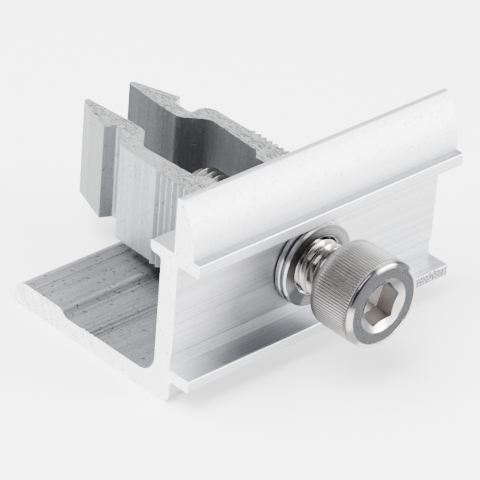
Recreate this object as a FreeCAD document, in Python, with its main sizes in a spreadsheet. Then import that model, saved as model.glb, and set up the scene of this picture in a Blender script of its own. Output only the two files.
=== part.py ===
import FreeCAD, Part

import os
import re

import Sketcher

# Solar end clamp: X runs along the extrusion, Y along the screw from its head, Z up from the foot

# Driving dimensions in millimetres

DRIVING = {
    "clamp_length": 50.0,
    "web_thickness": 3.3,
    "foot_reach": 31.0,
    "foot_pad_height": 3.75,
    "foot_floor_height": 2.9,
    "foot_pad_length": 9.9,
    "foot_step_run": 0.9,
    "foot_dip_length": 3.4,
    "foot_dip_depth": 0.2,
    "foot_tip_radius": 2.4,
    "foot_edge_radius": 0.5,
    "foot_corner_radius": 3.1,
    "foot_step_radius": 0.9,
    "foot_groove_width": 0.5,
    "foot_groove_depth": 0.22,
    "foot_groove_pitch": 0.88,
    "foot_groove_count": 3,
    "foot_groove_offset": 0.6,
    "pad_groove_inset": 4.1,
    "pad_groove_width": 0.22,
    "pad_groove_depth": 0.12,
    "heel_radius": 1.5,
    "lower_rib_bottom": 3.75,
    "lower_rib_thickness": 1.85,
    "lower_rib_reach": 3.65,
    "upper_rib_bottom": 22.4,
    "upper_rib_thickness": 2.0,
    "upper_rib_reach": 4.2,
    "rib_edge_radius": 0.3,
    "rib_root_radius": 0.6,
    "web_relief_height": 2.55,
    "web_relief_depth": 0.2,
    "web_relief_run": 0.3,
    "fin_reach": 2.2,
    "fin_thickness": 1.7,
    "fin_drop": 0.45,
    "fin_nose_radius": 0.8,
    "fin_top_radius": 0.3,
    "fin_root_radius": 0.7,
    "lip_height": 32.7,
    "lip_crest": 0.9,
    "lip_root": 3.75,
    "lip_setback": 0.85,
    "lip_front_radius": 12.0,
    "crest_radius": 0.35,
    "axis_height": 14.1,
    "shank_radius": 4.0,
    "screw_length": 30.0,
    "screw_end_chamfer": 0.7,
    "head_radius": 6.6,
    "head_height": 8.0,
    "head_front_radius": 0.8,
    "head_back_chamfer": 0.45,
    "socket_across_flats": 6.0,
    "socket_depth": 4.0,
    "socket_mouth_radius": 4.15,
    "socket_mouth_depth": 0.6,
    "socket_mouth_slope": 2.0,
    "web_hole_clearance": 0.08,
    "washer_clearance": 0.2,
    "nut_clearance": 0.06,
    "rear_washer_radius": 6.5,
    "rear_washer_thickness": 1.1,
    "front_washer_radius": 6.4,
    "front_washer_thickness": 0.9,
    "washer_bevel": 0.25,
    "head_standoff": 4.95,
    "nut_standoff": 3.35,
    "nut_height": 15.2,
    "nut_drop": 0.65,
    "nut_base_thickness": 6.3,
    "nut_slot_depth": 3.3,
    "nut_slot_half_width": 4.5,
    "nut_slot_slope": 1.4,
    "nut_cavity_half_width": 6.45,
    "nut_cavity_narrowing": 0.55,
    "nut_root_half_width": 9.0,
    "nut_tooth_depth": 0.5,
    "nut_tooth_pitch": 1.18,
    "nut_tooth_count": 13,
    "nut_tooth_tip_start": 0.36,
    "nut_tooth_tip_end": 0.56,
    "nut_tooth_root_end": 0.88,
    "nut_body_half_width": 8.9,
    "nut_shoulder_reach": 24.5,
    "nut_shoulder_radius": 1.9,
    "nut_cavity_radius": 1.8,
    "nut_flare_length": 3.2,
    "neck_inner": 3.2,
    "neck_outer": 5.5,
    "neck_length": 3.3,
    "barb_half_width": 7.3,
    "barb_rise": 0.9,
    "nose_reach": 36.1,
    "nose_inner": 3.85,
    "nose_outer": 4.7,
    "nose_radius": 0.35,
    "neck_corner_radius": 0.4,
    "nut_edge_chamfer": 0.4,
}

# Places worked out from the driving dimensions

DERIVED = {
    "web_face": "=web_thickness / 2",
    "foot_pad_start": "=foot_reach - foot_pad_length",
    "foot_dip_end": "=foot_pad_start - foot_step_run",
    "foot_dip_start": "=foot_dip_end - foot_dip_length",
    "foot_ridge": "=foot_dip_start - foot_step_run / 2",
    "foot_dip_height": "=foot_floor_height - foot_dip_depth",
    "foot_groove_place": "=foot_ridge - foot_groove_offset",
    "pad_groove_place": "=foot_reach - pad_groove_inset",
    "lower_rib_top": "=lower_rib_bottom + lower_rib_thickness",
    "lower_rib_face": "=web_face + lower_rib_reach",
    "web_relief_face": "=web_face - web_relief_depth",
    "web_relief_top": "=lower_rib_top + web_relief_height",
    "upper_rib_top": "=upper_rib_bottom + upper_rib_thickness",
    "upper_rib_face": "=web_face + upper_rib_reach",
    "fin_tip": "=web_face + fin_reach",
    "fin_top": "=upper_rib_top - fin_drop",
    "fin_bottom": "=fin_top - fin_thickness",
    "lip_back": "=web_face - lip_setback",
    "lip_foot": "=lip_back + lip_root",
    "lip_edge": "=lip_back + lip_crest",
    "washer_bore": "=shank_radius + washer_clearance",
    "head_place": "=web_face + rear_washer_thickness + front_washer_thickness + head_standoff",
    "nut_place": "=web_face + nut_standoff",
    "nut_middle": "=axis_height - nut_drop",
    "nut_slot_top": "=nut_base_thickness + nut_slot_depth",
    "nut_slot_shoulder": "=nut_slot_top + nut_slot_slope",
    "nut_teeth_top": "=nut_edge_chamfer + nut_tooth_count * nut_tooth_pitch",
    "nut_flare_start": "=nut_shoulder_reach - nut_flare_length",
    "nut_cavity_root": "=nut_cavity_half_width - nut_cavity_narrowing",
    "nut_tooth_root": "=nut_root_half_width - nut_tooth_depth",
    "nut_tooth_tip": "=nut_root_half_width + nut_tooth_depth",
    "barb_root": "=nut_shoulder_reach + neck_length",
    "barb_corner": "=barb_root + barb_rise",
    "socket_corner": "=socket_across_flats / sqrt(3)",
}

# How near an edge lies to where it is looked for, in millimetres

MATCH = 0.01

doc = FreeCAD.newDocument("solar_end_clamp")
sizes = doc.addObject("Spreadsheet::Sheet", "Sizes")
for row, (name, value) in enumerate(list(DRIVING.items()) + list(DERIVED.items()), start=1):
    sizes.set("A%d" % row, name)
    sizes.set("B%d" % row, str(value))
    sizes.setAlias("B%d" % row, name)
doc.recompute()


def formula(text):
    """A sum on the names of sizes, with each name pointed at its cell."""
    return re.sub(r"[a-z]+(_[a-z]+)+", lambda name: "Sizes." + name.group(), text)


def value(text):
    """What a sum on the names of sizes comes to."""
    return float(sizes.evalExpression(formula(text)))


def new_body(label, along="0", up="0"):
    """A body with its own label, set along the screw's axis and up by two sums."""
    body = doc.addObject("PartDesign::Body", label)
    body.Label = label
    body.setExpression("Placement.Base.y", formula(along))
    body.setExpression("Placement.Base.z", formula(up))
    return body


def new_sketch(body, label, plane):
    """A sketch on one of the body's own planes."""
    sketch = body.newObject("Sketcher::SketchObject", label)
    planes = [item for item in body.Origin.OriginFeatures if item.Name.startswith(plane)]
    sketch.AttachmentSupport = (planes[0], [""])
    sketch.MapMode = "FlatFace"
    return sketch


def hold(sketch, kind, places, text):
    """A dimension of a sketch, tied to a sum on the names of sizes."""
    made = sketch.addConstraint(Sketcher.Constraint(kind, *places, value(text)))
    sketch.setExpression("Constraints[%d]" % made, formula(text))


def pin(sketch, index, across, up, end=1):
    """Hold one end of an edge, or the centre of a circle, at two sums, or on a sketch axis
    where the sum is "0"."""
    for kind, axis, text in (("DistanceX", -2, across), ("DistanceY", -1, up)):
        if text == "0":
            sketch.addConstraint(Sketcher.Constraint("PointOnObject", index, end, axis))
        else:
            hold(sketch, kind, (-1, 1, index, end), text)


def place_of(point):
    """The sketch position of a pair of sums."""
    return FreeCAD.Vector(value(point[0]), value(point[1]))


def mirrored(points):
    """The same points on the other side of the upright axis, in the other order."""
    return [("-(%s)" % across, up) for across, up in reversed(points)]


def outline(sketch, points):
    """A closed outline through pairs of sums. A third entry makes the edge that starts
    there an arc of that radius, bulging to the right of its direction."""
    first = sketch.GeometryCount
    count = len(points)
    for index, point in enumerate(points):
        start = place_of(point)
        end = place_of(points[(index + 1) % count])
        if len(point) == 3:
            chord = end - start
            radius = value(point[2])
            bulge = radius - (radius ** 2 - chord.Length ** 2 / 4) ** 0.5
            side = FreeCAD.Vector(chord.y, -chord.x).normalize()
            middle = (start + end) / 2 + side * bulge
            sketch.addGeometry(Part.Arc(start, middle, end), False)
        else:
            sketch.addGeometry(Part.LineSegment(start, end), False)
    for index, point in enumerate(points):
        after = first + (index + 1) % count
        sketch.addConstraint(Sketcher.Constraint("Coincident", first + index, 2, after, 1))
    for index, point in enumerate(points):
        pin(sketch, first + index, point[0], point[1])
        if len(point) == 3:
            hold(sketch, "Radius", (first + index,), point[2])


def long_edges(feature, axis, points):
    """The names of the straight edges along an axis that pass through pairs of sums."""
    across, up = {"x": ("y", "z"), "z": ("x", "y")}[axis]
    goals = [place_of(point) for point in points]
    found = []
    for number, edge in enumerate(feature.Shape.Edges, start=1):
        box = edge.BoundBox
        spans = {"x": box.XLength, "y": box.YLength, "z": box.ZLength}
        centre = box.Center
        straight = max(spans[across], spans[up]) < MATCH < spans[axis]
        at_goal = any(abs(getattr(centre, across) - goal.x) < MATCH
                      and abs(getattr(centre, up) - goal.y) < MATCH for goal in goals)
        if straight and at_goal:
            found.append("Edge%d" % number)
    return found


def rims(feature, points):
    """The names of the circles about the Y axis at pairs of a radius and a place along it."""
    goals = [place_of(point) for point in points]
    found = []
    for number, edge in enumerate(feature.Shape.Edges, start=1):
        box = edge.BoundBox
        reach = box.ZLength / 2
        at_goal = any(abs(reach - goal.x) < MATCH and abs(box.Center.y - goal.y) < MATCH
                      for goal in goals)
        if box.YLength < MATCH and at_goal:
            found.append("Edge%d" % number)
    return found


def dress(body, before, label, kind, bound, edges):
    """A fillet or chamfer of a named size on edges of the feature before it."""
    feature = body.newObject("PartDesign::" + kind, label)
    feature.Base = (before, edges)
    feature.setExpression("Radius" if kind == "Fillet" else "Size", formula(bound))
    body.Tip = feature
    doc.recompute()
    return feature


def round_edges(body, before, axis, rounds):
    """Fillets and chamfers, one after another, on the long edges at pairs of sums."""
    doc.recompute()
    for label, kind, bound, points in rounds:
        before = dress(body, before, label, kind, bound, long_edges(before, axis, points))
    return before


def round_rims(body, before, rounds):
    """Fillets and chamfers, one after another, on circles about the Y axis."""
    doc.recompute()
    for label, kind, bound, points in rounds:
        before = dress(body, before, label, kind, bound, rims(before, points))
    return before


def pad(body, sketch, label, length):
    """The sketch made solid by half the length to each side of its plane."""
    feature = body.newObject("PartDesign::Pad", label)
    feature.Profile = sketch
    feature.SideType = "Symmetric"
    feature.setExpression("Length", formula(length))
    body.Tip = feature
    return feature


def pocket(body, sketch, label, length, side="Symmetric"):
    """The sketch cut out of the body, to both sides of its plane unless one is asked."""
    feature = body.newObject("PartDesign::Pocket", label)
    feature.Profile = sketch
    feature.SideType = side
    feature.setExpression("Length", formula(length))
    body.Tip = feature
    return feature


def spin(body, sketch, label, kind="Revolution"):
    """The sketch turned once round the body's Y axis."""
    feature = body.newObject("PartDesign::" + kind, label)
    feature.Profile = sketch
    feature.ReferenceAxis = (sketch, ["V_Axis"])
    body.Tip = feature
    return feature


def pattern(body, feature, sketch, label, axis, spacing, count, backwards=False):
    """Copies of a feature in a row along one axis of its sketch."""
    row_of = body.newObject("PartDesign::LinearPattern", label)
    row_of.Originals = [feature]
    row_of.Direction = (sketch, [axis])
    row_of.Reversed = backwards
    row_of.setExpression("Length", formula("%s * (%s - 1)" % (spacing, count)))
    row_of.setExpression("Occurrences", formula(count))
    body.Tip = row_of
    return row_of


def screw_hole(body, label, up, clearance, length):
    """A round hole on the screw's axis, wider than the shank by a clearance."""
    section = new_sketch(body, label + "Section", "XZ")
    centre = FreeCAD.Vector(0, value(up))
    radius = "shank_radius + " + clearance
    section.addGeometry(Part.Circle(centre, FreeCAD.Vector(0, 0, 1), value(radius)), False)
    hold(section, "Radius", (0,), radius)
    pin(section, 0, "0", up, end=3)
    return pocket(body, section, label, length)


# Clamp profile: foot, web, two front ribs, rear fin and tapered lip in one extrusion

def make_clamp_profile():
    body = new_body("clamp_profile")
    section = new_sketch(body, "ProfileSection", "YZ")
    outline(section, [
        ("-web_face", "0"),
        ("foot_reach", "0"),
        ("foot_reach", "foot_pad_height"),
        ("foot_pad_start", "foot_pad_height"),
        ("foot_dip_end", "foot_dip_height"),
        ("foot_dip_start", "foot_dip_height"),
        ("foot_ridge", "foot_floor_height"),
        ("web_face", "foot_floor_height"),
        ("web_face", "fin_bottom"),
        ("fin_tip", "fin_bottom"),
        ("fin_tip", "fin_top"),
        ("-lip_back", "fin_top"),
        ("-lip_back", "lip_height"),
        ("-lip_edge", "lip_height", "lip_front_radius"),
        ("-lip_foot", "upper_rib_top"),
        ("-upper_rib_face", "upper_rib_top"),
        ("-upper_rib_face", "upper_rib_bottom"),
        ("-web_face", "upper_rib_bottom"),
        ("-web_face", "web_relief_top"),
        ("-web_relief_face", "web_relief_top - web_relief_run"),
        ("-web_relief_face", "lower_rib_top"),
        ("-lower_rib_face", "lower_rib_top"),
        ("-lower_rib_face", "lower_rib_bottom"),
        ("-web_face", "lower_rib_bottom"),
    ])
    solid = pad(body, section, "ProfilePad", "clamp_length")
    round_edges(body, solid, "x", [
        ("HeelRound", "Fillet", "heel_radius", [("-web_face", "0")]),
        ("FootEdgeRound", "Fillet", "foot_edge_radius", [("foot_reach", "0")]),
        ("FootTipRound", "Fillet", "foot_tip_radius", [("foot_reach", "foot_pad_height")]),
        ("FootCornerRound", "Fillet", "foot_corner_radius", [("web_face", "foot_floor_height")]),
        ("FootStepRound", "Fillet", "foot_step_radius",
         [("foot_pad_start", "foot_pad_height"), ("foot_dip_end", "foot_dip_height")]),
        ("FinRootRound", "Fillet", "fin_root_radius", [("web_face", "fin_bottom")]),
        ("FinNoseRound", "Fillet", "fin_nose_radius", [("fin_tip", "fin_bottom")]),
        ("FinTopRound", "Fillet", "fin_top_radius", [("fin_tip", "fin_top")]),
        ("CrestRound", "Fillet", "crest_radius",
         [("-lip_back", "lip_height"), ("-lip_edge", "lip_height")]),
        ("RibRootRound", "Fillet", "rib_root_radius", [("-web_face", "lower_rib_bottom")]),
        ("RibEdgeRound", "Fillet", "rib_edge_radius", [
            ("-lower_rib_face", "lower_rib_bottom"),
            ("-lower_rib_face", "lower_rib_top"),
            ("-upper_rib_face", "upper_rib_bottom"),
            ("-upper_rib_face", "upper_rib_top"),
        ]),
    ])
    row = cut_groove(body, "FootGroove", "foot_groove_place", "foot_floor_height",
                     "foot_groove_width", "foot_groove_depth")
    pattern(body, row, row.Profile[0], "FootGrooveRow", "H_Axis",
            "foot_groove_pitch", "foot_groove_count", backwards=True)
    cut_groove(body, "PadGroove", "pad_groove_place", "foot_pad_height",
               "pad_groove_width", "pad_groove_depth")
    screw_hole(body, "ScrewHole", "axis_height", "web_hole_clearance", "2 * web_thickness")
    return body


def cut_groove(body, label, place, top, width, depth):
    """A fine V groove along the foot's upper side."""
    section = new_sketch(body, label + "Section", "YZ")
    outline(section, [
        ("%s - %s / 2" % (place, width), top),
        (place, "%s - %s" % (top, depth)),
        ("%s + %s / 2" % (place, width), top),
    ])
    return pocket(body, section, label, "clamp_length")


# Channel nut: a U of two barbed arms on a threaded base, toothed on both flanks

def make_channel_nut():
    body = new_body("channel_nut", "nut_place", "nut_middle")
    section = new_sketch(body, "NutSection", "XY")
    half = [
        ("nut_root_half_width", "0"),
        ("nut_root_half_width", "nut_teeth_top"),
        ("nut_body_half_width", "nut_flare_start"),
        ("nut_body_half_width", "nut_shoulder_reach"),
        ("neck_outer", "nut_shoulder_reach"),
        ("neck_outer", "barb_root"),
        ("barb_half_width", "barb_corner"),
        ("nose_outer", "nose_reach"),
        ("nose_inner", "nose_reach"),
        ("neck_inner", "barb_root"),
        ("neck_inner", "nut_shoulder_reach"),
        ("nut_cavity_half_width", "nut_flare_start"),
        ("nut_cavity_root", "nut_slot_shoulder"),
        ("nut_slot_half_width", "nut_slot_top"),
        ("nut_slot_half_width", "nut_base_thickness"),
    ]
    outline(section, half + mirrored(half))
    solid = pad(body, section, "NutPad", "nut_height")
    round_edges(body, solid, "z", [
        ("ShoulderRound", "Fillet", "nut_shoulder_radius",
         both("nut_body_half_width", "nut_shoulder_reach")),
        ("CavityRound", "Fillet", "nut_cavity_radius",
         both("nut_cavity_half_width", "nut_flare_start") + both("neck_inner", "nut_shoulder_reach")),
        ("NoseRound", "Fillet", "nose_radius",
         both("nose_outer", "nose_reach") + both("nose_inner", "nose_reach")),
        ("NeckRound", "Fillet", "neck_corner_radius",
         both("neck_outer", "nut_shoulder_reach") + both("neck_outer", "barb_root")
         + both("nut_slot_half_width", "nut_base_thickness")),
        ("BaseChamfer", "Chamfer", "nut_edge_chamfer", both("nut_root_half_width", "0")),
    ])
    cut_teeth(body)
    screw_hole(body, "NutHole", "nut_drop", "nut_clearance", "2 * nut_slot_shoulder")
    return body


def both(across, up):
    """A pair of sums and its mirror image."""
    return [(across, up)] + mirrored([(across, up)])


def cut_teeth(body):
    """A row of teeth that stand out from both flanks of the nut."""
    section = new_sketch(body, "ToothSection", "XY")
    start = "nut_edge_chamfer + nut_tooth_pitch * "
    tooth = [
        ("nut_tooth_root", "nut_edge_chamfer"),
        ("nut_root_half_width", "nut_edge_chamfer"),
        ("nut_tooth_tip", start + "nut_tooth_tip_start"),
        ("nut_tooth_tip", start + "nut_tooth_tip_end"),
        ("nut_root_half_width", start + "nut_tooth_root_end"),
        ("nut_tooth_root", start + "nut_tooth_root_end"),
    ]
    outline(section, tooth)
    outline(section, mirrored(tooth))
    teeth = pad(body, section, "Tooth", "nut_height")
    pattern(body, teeth, section, "ToothRow", "V_Axis", "nut_tooth_pitch", "nut_tooth_count")


# Cap screw: knurled head with a hexagon socket, and a shank through web and nut

def make_cap_screw():
    body = new_body("cap_screw", "-head_place", "axis_height")
    section = new_sketch(body, "ScrewSection", "XY")
    outline(section, [
        ("0", "-head_height"),
        ("head_radius", "-head_height"),
        ("head_radius", "0"),
        ("shank_radius", "0"),
        ("shank_radius", "screw_length"),
        ("0", "screw_length"),
    ])
    solid = spin(body, section, "ScrewTurned")
    round_rims(body, solid, [
        ("HeadFrontRound", "Fillet", "head_front_radius", [("head_radius", "-head_height")]),
        ("HeadBackChamfer", "Chamfer", "head_back_chamfer", [("head_radius", "0")]),
        ("ScrewEndChamfer", "Chamfer", "screw_end_chamfer", [("shank_radius", "screw_length")]),
    ])
    cut_socket(body)
    return body


def cut_socket(body):
    """The hexagon socket, with a cone at its mouth."""
    section = new_sketch(body, "SocketSection", "XZ")
    section.setExpression("AttachmentOffset.Base.z", formula("head_height"))
    half = [
        ("socket_corner / 2", "-socket_across_flats / 2"),
        ("socket_corner", "0"),
        ("socket_corner / 2", "socket_across_flats / 2"),
    ]
    outline(section, half + mirrored(half))
    pocket(body, section, "Socket", "socket_depth", side="One side")
    mouth = new_sketch(body, "MouthSection", "XY")
    outline(mouth, [
        ("0", "-head_height"),
        ("socket_mouth_radius", "-head_height"),
        ("socket_mouth_radius - socket_mouth_slope * socket_mouth_depth",
         "socket_mouth_depth - head_height"),
        ("0", "socket_mouth_depth - head_height"),
    ])
    spin(body, mouth, "SocketMouth", kind="Groove")


# Washers on the shank, the wider one against the web

def make_washer(label, radius, thickness, place):
    body = new_body(label, "-(%s)" % place, "axis_height")
    section = new_sketch(body, label + "_section", "XY")
    outline(section, [
        ("washer_bore", "0"),
        (radius, "0"),
        (radius, "-" + thickness),
        ("washer_bore", "-" + thickness),
    ])
    solid = spin(body, section, label + "_ring")
    round_rims(body, solid, [
        (label + "_bevel", "Chamfer", "washer_bevel",
         [(radius, "0"), (radius, "-" + thickness), ("washer_bore", "-" + thickness)]),
    ])
    return body


def main():
    bodies = [
        make_clamp_profile(),
        make_channel_nut(),
        make_cap_screw(),
        make_washer("rear_washer", "rear_washer_radius", "rear_washer_thickness",
                    "web_face"),
        make_washer("front_washer", "front_washer_radius", "front_washer_thickness",
                    "web_face + rear_washer_thickness"),
    ]
    doc.recompute()
    for item in doc.Objects:
        if "Invalid" in item.State or "Error" in item.State:
            raise RuntimeError("%s did not compute" % item.Label)
    os.makedirs("parts", exist_ok=True)
    for body in bodies:
        shape = body.Shape
        if shape.isNull() or not shape.isValid() or len(shape.Solids) != 1:
            raise RuntimeError("%s has no valid single solid" % body.Label)
        shape.exportStep("parts/%s.step" % body.Label)
        box = shape.BoundBox
        print("%s x %.2f %.2f y %.2f %.2f z %.2f %.2f volume %.1f" % (
            body.Label, box.XMin, box.XMax, box.YMin, box.YMax, box.ZMin, box.ZMax,
            shape.Volume))


main()
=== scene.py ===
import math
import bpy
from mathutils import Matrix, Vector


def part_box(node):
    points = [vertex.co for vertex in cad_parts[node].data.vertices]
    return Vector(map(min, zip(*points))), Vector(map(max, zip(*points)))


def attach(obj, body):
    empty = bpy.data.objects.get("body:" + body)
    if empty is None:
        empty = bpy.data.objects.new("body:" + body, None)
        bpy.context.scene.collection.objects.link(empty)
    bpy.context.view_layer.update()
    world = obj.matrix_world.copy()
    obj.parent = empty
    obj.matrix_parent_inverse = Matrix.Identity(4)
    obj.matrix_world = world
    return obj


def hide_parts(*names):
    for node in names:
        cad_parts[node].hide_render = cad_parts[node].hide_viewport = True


bl_info = {
    "name": "Solar End Clamp",
    "version": (1, 0, 0),
    "blender": (4, 5, 0),
    "location": "3D View > Sidebar > End Clamp",
    "description": "Dresses a solar end clamp with its threaded screw and worked metal finishes",
    "category": "Object",
}

import bmesh
import bpy
import numpy as np
from mathutils import Euler, Vector

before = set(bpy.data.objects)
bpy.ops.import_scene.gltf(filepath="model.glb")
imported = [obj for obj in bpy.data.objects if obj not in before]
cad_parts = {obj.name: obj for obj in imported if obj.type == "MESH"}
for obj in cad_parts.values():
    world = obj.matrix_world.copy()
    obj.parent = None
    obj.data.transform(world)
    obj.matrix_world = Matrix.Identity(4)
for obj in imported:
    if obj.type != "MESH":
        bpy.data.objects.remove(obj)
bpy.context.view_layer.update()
SCREW_LOW, SCREW_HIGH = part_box("cap_screw")
NUT_LOW, NUT_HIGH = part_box("channel_nut")
WASHER_LOW, WASHER_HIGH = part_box("rear_washer")

MM = 0.001
PER_MM = 1000.0
MERGE_DISTANCE = 0.002 * MM
SHARP_ANGLE = math.radians(32.0)
AXIS_HEIGHT = (SCREW_LOW.z + SCREW_HIGH.z) / 2

# Places along Y, in millimetres, at the ends of the nut's teeth, shoulders and barbs and where
# the washers meet. The rear washer's back is measured from there, and the rim from the axis.

TEETH_END = NUT_LOW.y * PER_MM + 15.74
SHOULDER_END = NUT_LOW.y * PER_MM + 24.5
BARB_END = NUT_LOW.y * PER_MM + 28.75
WASHER_MEET = WASHER_LOW.y * PER_MM
WASHER_BACK = (WASHER_HIGH.y - WASHER_LOW.y) * PER_MM
RIM_START = WASHER_HIGH.x * PER_MM - 0.55


def length(name, description, default, **options):
    """A length property in metres."""
    return bpy.props.FloatProperty(
        name=name, description=description, default=default, unit="LENGTH", precision=5, **options)


def colour(name, description, default):
    """A plain colour property."""
    return bpy.props.FloatVectorProperty(
        name=name, description=description, default=default, size=3, min=0.0, max=1.0,
        subtype="COLOR")


class ScrewSizes(bpy.types.PropertyGroup):
    """Sizes of the cap screw, its thread, its knurled head and its socket."""

    head_radius: length(
        "Head Radius", "Radius over the knurl", (SCREW_HIGH.x - SCREW_LOW.x) / 2)
    head_height: length("Head Height", "Height of the head", 8.0 * MM)
    front_round: length("Front Round", "Width of the bright round at the head's front", 0.72 * MM)
    front_run: length("Front Run", "Length of the bright round along the axis", 0.5 * MM)
    back_chamfer: length("Back Chamfer", "Chamfer at the back of the head", 0.45 * MM)
    ridges: bpy.props.IntProperty(
        name="Ridges", description="Number of knurl ridges", default=96, min=12)
    ridge_depth: length("Ridge Depth", "Depth of the knurl", 0.22 * MM)
    key_width: length("Key Width", "Width across the flats of the socket", 6.0 * MM)
    key_depth: length("Key Depth", "Depth of the socket", 3.5 * MM)
    key_turn: bpy.props.FloatProperty(
        name="Key Turn", description="Turn of the socket about the screw's axis",
        default=math.radians(-10.0), subtype="ANGLE")
    mouth_radius: length("Mouth Radius", "Radius of the cone at the socket's mouth", 4.15 * MM)
    mouth_slope: bpy.props.FloatProperty(
        name="Mouth Slope", description="Depth of the mouth's cone for each unit of radius",
        default=0.5, min=0.1)
    crest_radius: length("Crest Radius", "Radius at the thread's crests", 4.0 * MM)
    root_radius: length("Root Radius", "Radius at the thread's roots", 3.27 * MM)
    pitch: length("Pitch", "Distance from crest to crest", 1.25 * MM)
    end_taper: length("End Taper", "Chamfer at the end of the thread", 0.75 * MM)


class NutSizes(bpy.types.PropertyGroup):
    """Sizes of the thread inside the channel nut."""

    base_thickness: length("Base Thickness", "Threaded length of the nut", 6.3 * MM)
    sleeve_radius: length("Sleeve Radius", "Outer radius of the thread's wall", 4.3 * MM)
    thread_gap: length("Thread Gap", "Clearance between the two threads", 0.05 * MM)
    end_gap: length("End Gap", "Setback of the thread from the nut's faces", 0.05 * MM)


class FinishColours(bpy.types.PropertyGroup):
    """Colours of the worked metals."""

    profile: colour("Profile", "Drawn aluminium of the clamp", (0.50, 0.505, 0.53))
    profile_sawn: colour("Profile Ends", "Sawn ends of the clamp", (0.88, 0.88, 0.89))
    nut: colour("Nut", "Drawn aluminium of the nut", (0.33, 0.34, 0.35))
    nut_sawn: colour("Nut Ends", "Sawn ends of the nut", (0.42, 0.425, 0.43))
    steel: colour("Steel", "Stainless steel of the screw", (0.42, 0.405, 0.39))
    steel_face: colour("Steel Face", "Satin face of the screw's head", (0.012, 0.012, 0.013))
    steel_glint: colour("Steel Glint", "Bright grain of the satin face", (0.045, 0.046, 0.05))
    washer: colour("Washer", "Stainless steel of the washers", (0.42, 0.42, 0.42))


class StageSizes(bpy.types.PropertyGroup):
    """Floor, light and camera."""

    camera_place: bpy.props.FloatVectorProperty(
        name="Camera Place", description="Where the camera stands",
        default=(-0.32215, -0.30856, 0.29237), subtype="TRANSLATION", unit="LENGTH")
    camera_turn: bpy.props.FloatVectorProperty(
        name="Camera Turn", description="The camera's rotation",
        default=(math.radians(58.0898), math.radians(-3.9399), math.radians(-42.696)),
        subtype="EULER")
    camera_lens: bpy.props.FloatProperty(
        name="Camera Lens", description="Focal length in millimetres", default=284.0, min=10.0)
    floor_size: length("Floor Size", "Width of the floor", 3.0)
    floor_colour: colour("Floor Colour", "Colour of the floor", (0.95, 0.95, 0.95))
    room_light: bpy.props.FloatProperty(
        name="Room Light", description="Strength of the even light", default=7.4, min=0.0)
    dark_side: bpy.props.FloatVectorProperty(
        name="Dark Side", description="Direction in which the room is darkest",
        default=(0.57, 0.57, 0.59), subtype="DIRECTION")
    camera_shade: bpy.props.FloatProperty(
        name="Camera Shade", description="Share of the room's light behind the camera",
        default=0.05, min=0.0, max=1.0)
    dark_level: bpy.props.FloatProperty(
        name="Dark Level", description="Share of the room's light on its dark side",
        default=0.32, min=0.0, max=1.0)
    key_light: bpy.props.FloatProperty(
        name="Key Light", description="Power of the main lamp", default=18.0, unit="POWER", min=0.0)
    fill_light: bpy.props.FloatProperty(
        name="Fill Light", description="Power of the side lamp", default=26.0, unit="POWER", min=0.0)


# Surfaces. First come how finely they are divided, then the shape of the knurl and small
# lengths, and last the thread's profile: shares of the pitch, and heights from root to crest.

CHAMFER_ROWS = 4
SIDE_ROWS = 14
ROUND_ROWS = 9
WALL_SHARES = (0.35, 0.7, 1.0)
RIDGE_SAMPLES = 6
TURN_SAMPLES = 72
RIDGE_POWER = 0.8
RIDGE_RISE = 8.0
RIDGE_FALL = 14.0
ROUND_GAP = 0.1 * MM
FACE_LIP = 0.06 * MM
SOCKET_DIP = 0.15 * MM
THREAD_IN_HEAD = 0.3 * MM
TIP_SETBACK = 0.05 * MM
ROOT_GAPS = 4
THREAD_PROFILE = (
    (-0.07, 0.92), (-0.03, 1.0), (0.03, 1.0), (0.07, 0.92),
    (0.34, 0.14), (0.43, 0.0), (0.57, 0.0), (0.66, 0.14),
)


def sheet_mesh(name, points, wrap):
    """A mesh through a grid of points, rows by columns by three, whose columns close into
    a ring when wrapped."""
    rows, columns = points.shape[:2]
    row, column = np.meshgrid(
        np.arange(rows - 1), np.arange(columns if wrap else columns - 1), indexing="ij")
    after = (column + 1) % columns
    faces = np.stack(
        [row * columns + column, row * columns + after,
         (row + 1) * columns + after, (row + 1) * columns + column], axis=-1)
    mesh = bpy.data.meshes.new(name)
    mesh.from_pydata(points.reshape(-1, 3).tolist(), [], faces.reshape(-1, 4).tolist())
    return mesh


def turned(radius, along, angle):
    """Points at a radius and a place along the screw's axis, turned about it by the
    right-hand angle: across is radius times sine, up is radius times cosine."""
    return np.stack(
        [radius * np.sin(angle), along + 0.0 * angle, AXIS_HEIGHT + radius * np.cos(angle)],
        axis=-1)


def make_piece(name, mesh, body, material):
    """A finished piece: doubles merged, faces outward, smooth but for its sharp edges."""
    shape = bmesh.new()
    shape.from_mesh(mesh)
    bmesh.ops.remove_doubles(shape, verts=shape.verts, dist=MERGE_DISTANCE)
    bmesh.ops.dissolve_degenerate(shape, edges=shape.edges, dist=MERGE_DISTANCE)
    bmesh.ops.recalc_face_normals(shape, faces=shape.faces)
    shape.to_mesh(mesh)
    shape.free()
    mesh.shade_smooth()
    mesh.set_sharp_from_angle(angle=SHARP_ANGLE)
    mesh.materials.append(material)
    piece = bpy.data.objects.new(name, mesh)
    bpy.context.scene.collection.objects.link(piece)
    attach(piece, body)
    return piece


def hexagon_radius(angle, width, turn):
    """Distance from the centre to a hexagon's side at an angle: half the width across the
    flats over the cosine of the angle from the middle of that side."""
    sector = math.pi / 3
    from_flat = (angle - turn + sector / 2) % sector - sector / 2
    return width / 2 / np.cos(from_flat)


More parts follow.
